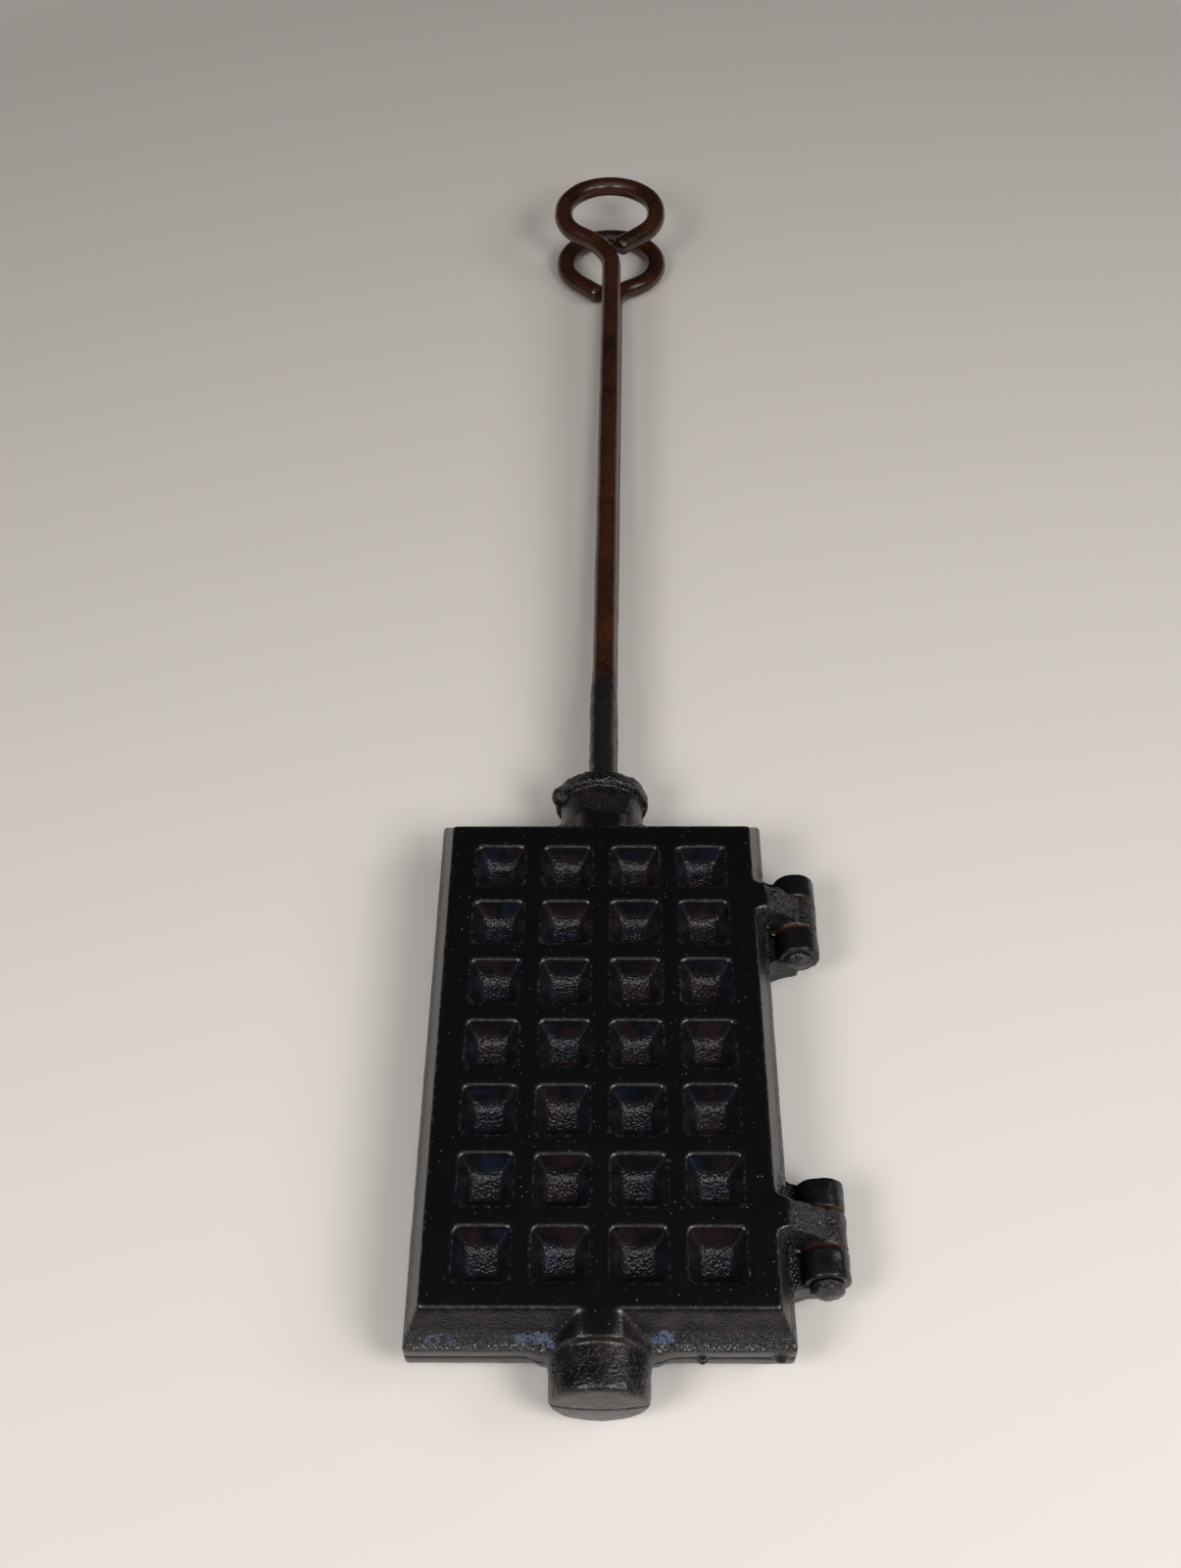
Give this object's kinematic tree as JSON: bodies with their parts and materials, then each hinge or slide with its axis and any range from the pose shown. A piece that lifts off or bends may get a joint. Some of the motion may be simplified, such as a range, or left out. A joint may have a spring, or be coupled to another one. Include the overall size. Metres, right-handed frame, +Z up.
{
  "type": "stovetop waffle iron",
  "caption": "Hinged cast iron waffle iron for a stove ring: two gridded plates that open like a book, with round trunnions at the ends and long looped handle rods.",
  "frame": {"origin": "centre of the face that the closed iron rests on, the lower plate's outer face", "axes": "+Z up, +Y along the handles towards their loops, +X towards the hinged side"},
  "size_m": [0.1372, 0.6457, 0.036],
  "materials": {
    "cast_iron": "sand-cast iron, seasoned glossy black",
    "handle_iron": "forged round rod with worn black paint over brown oxide",
    "hinge_pin": "peened iron rivet, dark and slightly rusty"
  },
  "bodies": {
    "lower_half": {"lower_plate": "cast_iron", "lower_handle": "handle_iron", "near_hinge_pin": "hinge_pin", "far_hinge_pin": "hinge_pin"},
    "upper_half": {"upper_plate": "cast_iron", "upper_handle": "handle_iron"}
  },
  "joints": [
    {"name": "plate_hinge", "type": "hinge", "parent": "lower_half", "child": "upper_half", "pos_m": [0.0704, 0, 0.018], "axis": [0, 1, 0], "range_deg": [0, 180]}
  ]
}
